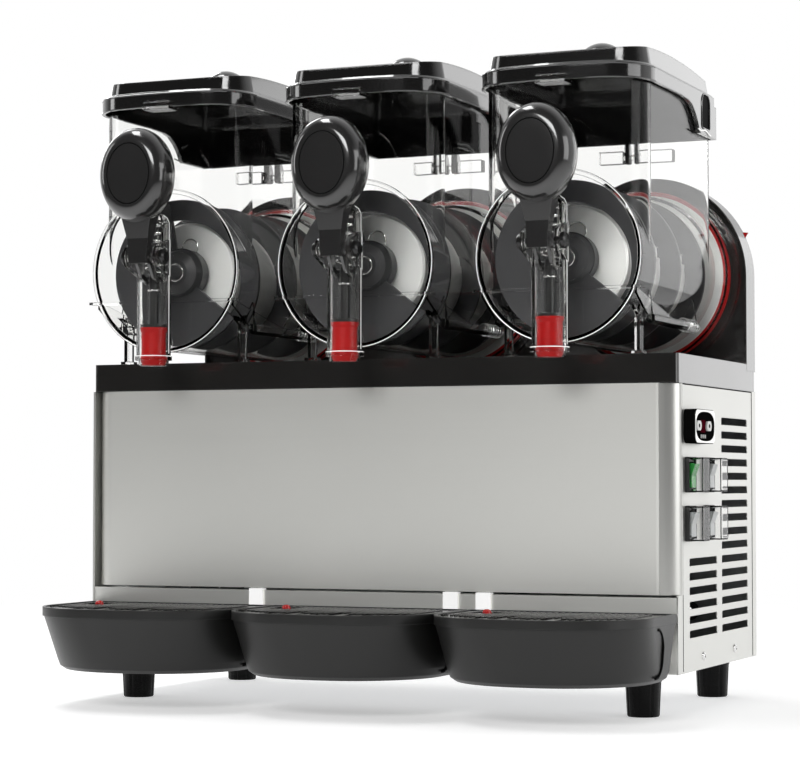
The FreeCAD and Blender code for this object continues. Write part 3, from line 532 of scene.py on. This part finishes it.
def make_tap_fittings(k, x):
    """Return spring over the rod, the rod's eye and the bright rings of the pivot."""
    body, slot = f"bowl_body_{k}", node_slots[f"evaporator_{k}"]
    coil = helix((x, TUBE_Y, SPRING_Z), "z", 7.6, SPRING_LENGTH, 6.5)
    name = f"tap_spring_{k}"
    spring = add_piece(name, wire(name, coil, 0.75), body, slot, spring_steel)
    at(x, TUBE_Y, SPRING_Z + SPRING_LENGTH)
    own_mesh(spring)
    eye = circle((x, TUBE_Y, 380.4), "z", 4.9, 24)
    name = f"rod_eye_{k}"
    add_piece(name, wire(name, eye, 1.0, closed=True), f"plunger_body_{k}", slot, spring_steel)
    washer = [(3.4, -0.5), (6.4, -0.5), (6.8, 0.0), (6.4, 0.5), (3.4, 0.5)]
    for side, word in SIDES:
        centre = (x + side * 16.7, PIVOT_Y, PIVOT_Z)
        name = f"pin_washer_{k}_{word}"
        add_piece(name, turned(name, centre, "x", washer, 24), body, slot, spring_steel)


def make_drum_fittings(k, x):
    """Rim of the drum's port and the scraper's cap nut with its rings."""
    port = circle((x + 2.0, -45.3, AXIS_Z + 25.0), "y", 8.4, 36)
    name = f"drum_port_rim_{k}"
    add_piece(name, wire(name, port, 0.8, closed=True), "cabinet",
              node_slots[f"evaporator_{k}"], spring_steel)
    body, slot = f"auger_body_{k}", node_slots[f"auger_{k}"]
    cap = [(0.0, -74.6), (4.6, -74.4), (6.6, -73.2), (7.2, -71.2), (7.2, -70.6), (0.0, -70.6)]
    name = f"scraper_cap_{k}"
    add_piece(name, turned(name, (x, 0.0, AXIS_Z), "y", cap, 32), body, slot)
    ring = circle((x, -71.0, AXIS_Z), "y", 8.0, 40)
    name = f"scraper_cap_ring_{k}"
    add_piece(name, wire(name, ring, 0.7, closed=True), body, slot, spring_steel)
    ring = circle((x, -60.2, AXIS_Z), "y", 23.1, 48)
    name = f"scraper_hub_ring_{k}"
    add_piece(name, wire(name, ring, 0.5, closed=True), body, slot)


def make_grips(k, x):
    """Dark liner of painted shade in the grip pocket of each cheek, the pocket's glossy bead
    and its wire clip.
    """
    body, slot = f"lid_body_{k}", node_slots[f"lid_{k}"]
    shade_outline = rounded(rectangle(82.9, 108.1, 531.4, 563.1), [2.6, 2.6, 8.6, 8.6])
    bead = rounded(rectangle(82.5, 108.5, 531.0, 563.5), [3.0, 3.0, 9.0, 9.0])
    clip = [(69.0, 528.6), (76.0, 527.6), (83.0, 528.4), (90.0, 529.6), (98.0, 528.8),
            (104.0, 527.2), (110.0, 526.6)]
    for side, word in SIDES:
        face = x + side * LID_HALF
        near, far = sorted((face - side * 1.75, face - side * 0.6))
        # Painted shade: a near-black plate in the pocket, where it lies in shadow.
        name = f"grip_pocket_shade_{k}_{word}"
        add_piece(name, side_plate(name, near, far, shade_outline), body, slot, painted_groove_shade)
        path = [(face + side * 0.1, y, z) for y, z in bead]
        name = f"grip_bead_{k}_{word}"
        add_piece(name, wire(name, path, 0.75, closed=True), body, slot)
        path = [(face + side * 0.5, y, z) for y, z in clip]
        name = f"grip_clip_{k}_{word}"
        add_piece(name, wire(name, path, 0.9), body, slot, spring_steel)


def make_rail_springs(k, x):
    """Latch spring round the rear end of each slide rail."""
    for side, word in SIDES:
        path = helix((x + side * 70.0, 47.0, 347.0), "y", 5.9, 36.0, 6.0, 14)
        name = f"rail_spring_{k}_{word}"
        add_piece(name, wire(name, path, 0.6, 6), f"bowl_body_{k}",
                  node_slots[f"evaporator_{k}"], spring_steel)


def make_lid_beads(k, x):
    """Glossy beads along the front of the rim and round the raised middle of the lid."""
    body, slot = f"lid_body_{k}", node_slots[f"lid_{k}"]
    corners = [(x - LID_HALF, LID_BACK), (x - LID_HALF, -98.0), (x, -109.5),
               (x + LID_HALF, -98.0), (x + LID_HALF, LID_BACK)]
    plan = rounded(corners, [8.0, 43.0, 250.0, 43.0, 8.0], 10)
    front = [p for p in plan if p[1] < 20.0]
    for word, z, out in (("low", 552.4, 0.0), ("high", 564.2, -0.2)):
        path = [(px + (px - x) / LID_HALF * out, py, z) for px, py in front]
        name = f"lid_rim_bead_{word}_{k}"
        add_piece(name, wire(name, path, 0.75), body, slot, lid_bead)
    half = CROWN_HALF - CROWN_INSET
    edge = rectangle(x - half, x + half, CROWN_FRONT + CROWN_INSET, CROWN_BACK - CROWN_INSET)
    path = []
    for px, py in rounded(edge, [20.0, 20.0, 3.0, 3.0], 8):
        fall = math.sqrt(CROWN_RADIUS ** 2 - (py - CROWN_Y) ** 2)
        path.append((px, py, CROWN_Z - CROWN_RADIUS + fall - 0.5))
    name = f"lid_crown_bead_{k}"
    add_piece(name, wire(name, path, 0.9, closed=True), body, slot, lid_bead)


def make_bowl_painted_highlights(k, x):
    """Painted highlights: pale glowing beads round the barrel's front, on the tap tube's seams
    and round its collar, standing in for the shine of polished clear edges.
    """
    body, slot = f"bowl_body_{k}", node_slots[f"bowl_{k}"]
    front = circle((x, -93.3, AXIS_Z), "y", 75.6, 96)
    name = f"barrel_painted_highlight_{k}"
    add_piece(name, wire(name, front, 0.42, 6, closed=True), body, slot, painted_edge_highlight)
    for side, word in SIDES:
        out = x + side * 15.7
        path = [(out, TUBE_Y, TUBE_BOTTOM), (out, TUBE_Y, 442.5),
                (out - side * 2.0, TUBE_Y, 447.0), (out - side * 6.0, TUBE_Y, 449.8)]
        name = f"tube_bead_{k}_{word}"
        add_piece(name, wire(name, path, 0.42, 6), body, slot, painted_edge_highlight)
    collar = circle((x, TUBE_Y, 319.8), "z", 16.8, 48)
    name = f"collar_painted_highlight_{k}"
    add_piece(name, wire(name, collar, 0.45, 6, closed=True), body, slot, painted_edge_highlight)


def make_float(k, x):
    """Small red button of the full-tray float, on its stem and disc."""
    profile = [(0.0, 36.6), (11.0, 36.6), (11.0, 45.6), (2.4, 45.6), (2.4, 87.5),
               (3.9, 87.6), (4.1, 90.6), (3.5, 92.8), (2.0, 93.9), (0.0, 94.1)]
    name = f"float_button_{k}"
    mesh = turned(name, (x - FLOAT_X, FLOAT_Y, 0.0), "z", profile)
    piece = add_piece(name, mesh, f"float_body_{k}", node_slots[f"float_{k}"])
    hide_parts(f"float_{k}")


def make_grate_ribs(k, x):
    """Fine upright ribs across the grate, left out over the float and the finger notch."""
    grate = frame["nodes"][f"drip_grate_{k}"].data
    rim = [(v.co.x * 1000.0 + DATUM_X - x, v.co.y * 1000.0 + DATUM_Y)
           for v in grate.vertices if v.co.z > 0.0895]
    bm = bmesh.new()
    for i in range(-14, 15):
        u = i * RIB_STEP
        near = [y for rx, y in rim if abs(rx - u) < 5.0]
        front = max(min(near) + 26.0, -176.0)
        back = max(near) - 2.0
        spans = [(front, back)]
        if -38.0 < u < -4.0:
            spans = [(front, -77.0)]
        if abs(u + FLOAT_X) < 10.5:
            spans = [(front, -115.0), (-91.0, back)]
        for y0, y1 in spans:
            low = at(x + u - RIB_HALF, y0, RIB_LOW)
            high = at(x + u + RIB_HALF, y1, RIB_HIGH)
            made = bmesh.ops.create_cube(bm, size=1.0)["verts"]
            for v in made:
                v.co = Vector((low[n] if v.co[n] < 0.0 else high[n]) for n in range(3))
            edges = list({e for v in made for e in v.link_edges})
            bmesh.ops.bevel(bm, geom=edges, offset=0.0003, segments=1, affect="EDGES")
    name = f"grate_ribs_{k}"
    add_piece(name, finish_mesh(name, bm), f"grate_body_{k}", node_slots[f"drip_grate_{k}"])


def make_tray_groove_shades(k, x):
    """Painted shade: a dark line along the groove in each side wall of the tray, where the
    groove lies in shadow.
    """
    corners = [(-113.0, 80.3), (-96.4, 80.3), (-96.4, 39.2), (-111.5, 39.2)]
    line = rounded(corners, [0.0, 15.8, 12.8, 0.0], 8)
    for side, word in SIDES:
        path = []
        for y, z in line:
            lean = 3.0 * max(0.0, (60.0 - z) / 26.0) + 1.2
            path.append((x + side * (96.2 - lean), y, z))
        name = f"tray_groove_shade_{k}_{word}"
        add_piece(name, wire(name, path, 1.15, 6), f"tray_body_{k}",
                  node_slots[f"drip_tray_{k}"], painted_groove_shade)


def make_feet():
    """Four tapered feet with upright flutes under a plain collar."""
    bm = bmesh.new()
    steps = 96
    levels = [(0.0, 13.4, 0.0), (1.2, 14.3, 0.8), (27.0, 15.6, 1.1), (30.0, 15.8, 0.0),
              (31.0, 16.4, 0.0), (38.6, 16.6, 0.0)]
    for x in (-FOOT_X, FOOT_X):
        for y in FOOT_YS:
            loops = []
            for z, radius, flute in levels:
                loop = []
                for i in range(steps):
                    groove = flute if i % 12 in (0, 1) else 0.0
                    u, v = spoke(radius - groove, i, steps)
                    loop.append(bm.verts.new(at(x + u, y + v, z)))
                loops.append(loop)
            add_skin(bm, loops)
            bm.faces.new(loops[0][::-1])
            bm.faces.new(loops[-1])
    bmesh.ops.recalc_face_normals(bm, faces=bm.faces)
    mesh = finish_mesh("feet_fluted", bm)
    piece = add_piece("feet_fluted", mesh, "cabinet", node_slots["feet"])
    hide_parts("feet")


def louvre_slot(y0, y1, z):
    """Outline of an air slot with its two upper corners cut off."""
    return [(y0, z), (y1, z), (y1, z + 5.4), (y1 - 1.6, z + 7.0),
            (y0 + 1.6, z + 7.0), (y0, z + 5.4)]


def make_right_side():
    """Right side sheet with its openings, its rear border and the rolled front corner."""
    slot = node_slots["side_panel_right"]
    outline = [(SEAM_Y, PANEL_BOTTOM), (-55.8, PANEL_BOTTOM), (-55.8, SHEET_BOTTOM),
               (SHEET_BACK, SHEET_BOTTOM), (SHEET_BACK, SHEET_TOP), (SEAM_Y, SHEET_TOP)]
    holes = [louvre_slot(82.0, 171.0, SLOT_Z + SLOT_STEP * row) for row in range(16)]
    holes += [louvre_slot(-21.5, 66.0, SLOT_Z + SLOT_STEP * row) for row in range(6)]
    holes.append(rectangle(-34.0, 20.0, 241.0, 265.0))
    for y in SWITCH_YS:
        for z in SWITCH_ZS:
            holes.append(rectangle(y - 9.0, y + 9.0, z - 13.0, z + 13.0))
    mesh = side_plate("side_sheet_right", SIDE_X - 2.0, SIDE_X - 0.4, outline, holes, 0.2)
    sheet = add_piece("side_sheet_right", mesh, "cabinet", slot, smooth=False)
    strip = rectangle(187.4, SHEET_BACK, SHEET_BOTTOM, 290.2)
    mesh = side_plate("side_border_right", SIDE_X - 0.7, SIDE_X, strip, (), 0.2)
    border = add_piece("side_border_right", mesh, "cabinet", slot, smooth=False)
    outer, inner = [], []
    for i in range(17):
        turn = math.radians(35.0 + 55.0 * i / 16)
        outer.append((ROLL_X + 39.9 * math.sin(turn), ROLL_Y - 18.2 * math.cos(turn)))
        inner.append((ROLL_X + 38.3 * math.sin(turn), ROLL_Y - 16.8 * math.cos(turn)))
    plan = [(273.0, -56.2)] + outer + inner[::-1]
    rings = [[at(px, py, z) for px, py in plan] for z in (PANEL_BOTTOM, 289.9)]
    mesh = rings_mesh("corner_roll_right", rings)
    roll = add_piece("corner_roll_right", mesh, "cabinet", slot, roll_steel)
    for piece in (sheet, border, roll):
        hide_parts("side_panel_right")


def make_switch_collars():
    """Thin raised frame round each of the four rockers."""
    for y in SWITCH_YS:
        for z in SWITCH_ZS:
            frame_line = rounded(
                rectangle(y - 11.5, y + 11.5, z - 15.6, z + 15.6), [3.2] * 4)
            opening = rounded(
                rectangle(y - 11.05, y + 11.05, z - 15.15, z + 15.15), [3.0] * 4)
            row = "front" if y == SWITCH_YS[0] else "rear"
            level = "low" if z == SWITCH_ZS[0] else "high"
            name = f"switch_collar_{row}_{level}"
            mesh = side_plate(name, SIDE_X, SIDE_X + 3.8, frame_line, [opening])
            add_piece(name, mesh, "cabinet", node_slots["switch_bezels"], smooth=False)


def make_side_details():
    """Seam lines drawn as dark lines of painted shade, screws and the controller's face on the
    right side.
    """
    steel = node_slots["side_panel_right"]
    x = 289.62
    # Painted shade: a dark wire along the seams, where the gaps lie in shadow.
    seam = [(x, -41.4, 40.0), (x, -41.4, SHEET_TOP), (x, 187.0, SHEET_TOP), (x, 187.0, 40.0)]
    add_piece("side_seam_shade", wire("side_seam_shade", seam, 0.36, 4), "cabinet", steel, painted_groove_shade)
    head = [(3.9, 0.0), (3.9, 0.5), (3.2, 1.5), (1.8, 2.1), (1.5, 1.2), (0.0, 1.0)]
    for i, (y, z) in enumerate(((20.7, 50.0), (123.2, 50.4))):
        name = f"side_screw_{i + 1}"
        mesh = turned(name, (289.4, y, z), "x", head, 28)
        add_piece(name, mesh, "cabinet", steel, spring_steel)

    slot = node_slots["thermostat"]
    outline = rounded(rectangle(-37.4, 23.4, 238.6, 267.4), [6.4] * 4)
    window = []
    for u, v in [spoke(1.0, i, 48) for i in range(48)]:
        window.append((-7.0 + 28.9 * math.copysign(abs(u) ** 0.72, u),
                       253.0 + 13.0 * math.copysign(abs(v) ** 0.72, v)))
    face = side_plate("controller_face", 299.9, 300.5, outline, [window], 0.1)
    add_piece("controller_face", face, "cabinet", slot, bezel_silver)
    glass = rounded(rectangle(-19.4, -4.2, 247.6, 258.6), [1.0] * 4)
    screen = side_plate("controller_screen", 299.2, 299.7, glass)
    add_piece("controller_screen", screen, "cabinet", slot, display_red)
    for i, y in enumerate((-17.6, -11.8, -6.0)):
        name = f"controller_light_{i + 1}"
        light = side_plate(name, 299.2, 300.2, ellipse(y, 244.2, 1.0, 1.7, 16))
        add_piece(name, light, "cabinet", slot, finishes["key_white"])
    for key, y in (("key_front", -27.5), ("key_rear", 4.0)):
        name = f"{key}_dot"
        dot = side_plate(name, 300.9, 301.15, ellipse(y, KEYS_Z, 1.9, 1.7, 20))
        add_piece(name, dot, f"{key}_body", slot)


def make_housing_pointer():
    """Small red pointer on the right edge of the rear housing."""
    rings = [[at(287.0, y, 441.5), at(292.5, y, 441.0), at(289.4, y, 436.0)]
             for y in (168.9, 170.1)]
    add_piece("housing_pointer", rings_mesh("housing_pointer", rings), "cabinet",
              node_slots["rear_housing"], finishes["red_plastic"])


for k, x in ((1, -PITCH), (2, 0.0), (3, PITCH)):
    make_knob(k, x)
    make_tap_fittings(k, x)
    make_drum_fittings(k, x)
    make_grips(k, x)
    make_rail_springs(k, x)
    make_lid_beads(k, x)
    make_bowl_painted_highlights(k, x)
    make_float(k, x)
    make_grate_ribs(k, x)
    make_tray_groove_shades(k, x)
make_feet()
make_right_side()
make_switch_collars()
make_side_details()
make_housing_pointer()


# Studio, in metres

WHITE = tone(1, 1, 1)


def looked_at(f):
    """1 where the eye meets a surface straight or through clear plastic, 0 in a mirror."""
    path = "ShaderNodeLightPath"
    bounces = f.node(path, output="Glossy Depth") + f.node(path, output="Diffuse Depth")
    mirrored = bounces.at_most(1.0)
    straight = f.node(path, output="Is Camera Ray")
    return straight.at_least(f.node(path, output="Is Transmission Ray") - mirrored)


def room_light(f, depth):
    """Pale backdrop behind the machine, a darker room on the side where it is served."""
    return f.spread(depth, -0.2, 0.4, 0.05, 0.7).at_least(looked_at(f))


def make_floor():
    """Pale floor that keeps the machine's shadow and fades into the white backdrop."""
    mesh = bpy.data.meshes.new("floor")
    corners = [(-9, -9, 0), (9, -9, 0), (9, 40, 0), (-9, 40, 0)]
    mesh.from_pydata(corners, [], [(0, 1, 2, 3)])
    floor = bpy.data.objects.new("floor", mesh)
    scene.collection.objects.link(floor)
    f = new_finish("floor_pale")
    glossy = f.node("ShaderNodeLightPath", output="Is Glossy Ray")
    body = f.node("ShaderNodeBsdfDiffuse", {}, {"Color": tone(0.80, 0.80, 0.80)})
    lift = f.node("ShaderNodeEmission", {}, {
        "Color": WHITE, "Strength": looked_at(f).at_least(glossy) * 0.45})
    near = f.node("ShaderNodeAddShader", {}, {0: body, 1: lift})
    depth = f.node("ShaderNodeSeparateXYZ", {}, {0: f.place}, output="Y")
    far = f.node("ShaderNodeEmission", {}, {
        "Color": WHITE, "Strength": room_light(f, depth * 0.5)})
    away = f.node("ShaderNodeVectorMath", {"operation": "LENGTH"}, {0: f.place}, "Value")
    reach = 1.9 + glossy * 1.4
    fade = f.spread(away, 0.75, reach, 0.0, 1.0)
    f.show(f.node("ShaderNodeMixShader", {}, {0: fade, 1: near, 2: far}))
    mesh.materials.append(f.owner)


def make_world():
    """Light that comes from all round, by the direction it comes from."""
    scene.world = bpy.data.worlds.new("studio")
    f = Finish(scene.world, "Generated")
    depth = f.node("ShaderNodeSeparateXYZ", {}, {0: f.place}, output="Y")
    sky = f.node("ShaderNodeBackground", {}, {
        "Color": WHITE, "Strength": room_light(f, depth)})
    f.show(sky, "ShaderNodeOutputWorld")


def make_lamp(name, place, aim_z, width, height, watts):
    """Softbox that points at a height on the machine's middle line."""
    data = bpy.data.lights.new(name, "AREA")
    data.shape = "RECTANGLE"
    data.size = width
    data.size_y = height
    data.energy = watts
    lamp = bpy.data.objects.new(name, data)
    scene.collection.objects.link(lamp)
    lamp.location = place
    towards = Vector((0, 0, aim_z)) - Vector(place)
    lamp.rotation_euler = towards.to_track_quat("-Z", "Y").to_euler()


def make_camera():
    """Camera where the photograph's perspective puts it."""
    data = bpy.data.cameras.new("camera")
    data.lens = 109.24
    data.sensor_width = 36.0
    data.clip_start = 0.05
    data.clip_end = 100.0
    camera = bpy.data.objects.new("camera", data)
    scene.collection.objects.link(camera)
    camera.location = (0.88999, -2.08022, 0.20541)
    camera.rotation_euler = (math.radians(92.363), 0.0, math.radians(23.291))
    scene.camera = camera


make_floor()
make_world()
make_lamp("softbox_behind_right", (1.55, 2.9, 0.75), 0.35, 2.0, 1.8, 10)
make_lamp("softbox_behind_left", (-1.9, 1.9, 1.7), 0.45, 0.5, 1.5, 12)
make_lamp("softbox_right", (2.7, -0.4, 0.9), 0.35, 1.5, 1.5, 19)
make_lamp("softbox_top", (-0.75, -0.2, 2.6), 0.3, 1.3, 0.6, 22)
make_lamp("softbox_left", (-2.9, -0.9, 1.3), 0.35, 0.7, 1.6, 12)
make_lamp("softbox_front", (0.22, -3.0, 1.75), 0.15, 1.5, 0.9, 42)
make_camera()
